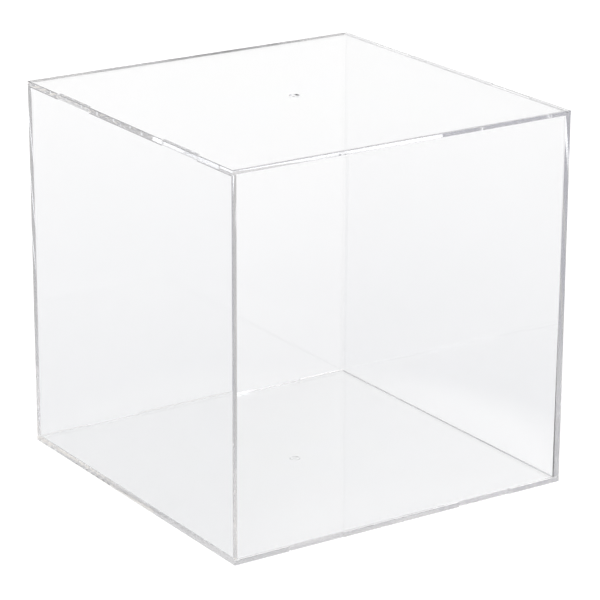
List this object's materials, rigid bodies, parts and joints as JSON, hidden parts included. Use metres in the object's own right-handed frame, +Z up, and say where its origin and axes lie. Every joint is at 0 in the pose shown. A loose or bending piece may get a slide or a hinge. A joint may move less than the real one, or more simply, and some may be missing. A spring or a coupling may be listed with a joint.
{
  "type": "ball display cube",
  "caption": "Clear moulded plastic cube that displays a ball, in two U-shaped halves set crosswise; the upper half lifts straight off.",
  "frame": {"origin": "centre of the underside of the base panel", "axes": "+Z up, towards the top panel; the walls of the lower half face -X and +X, those of the upper half -Y and +Y"},
  "size_m": [0.2476, 0.2476, 0.2476],
  "materials": {
    "clear_lower": "clear, colourless, polished, high gloss",
    "clear_upper": "clear, colourless, polished, high gloss"
  },
  "bodies": {
    "lower_half": {"lower_half": "clear_lower"},
    "upper_half": {"upper_half": "clear_upper"}
  },
  "joints": [
    {"name": "upper_half_lift", "type": "slide", "parent": "lower_half", "child": "upper_half", "axis": [0, 0, 1], "range_m": [0, 0.26]}
  ]
}
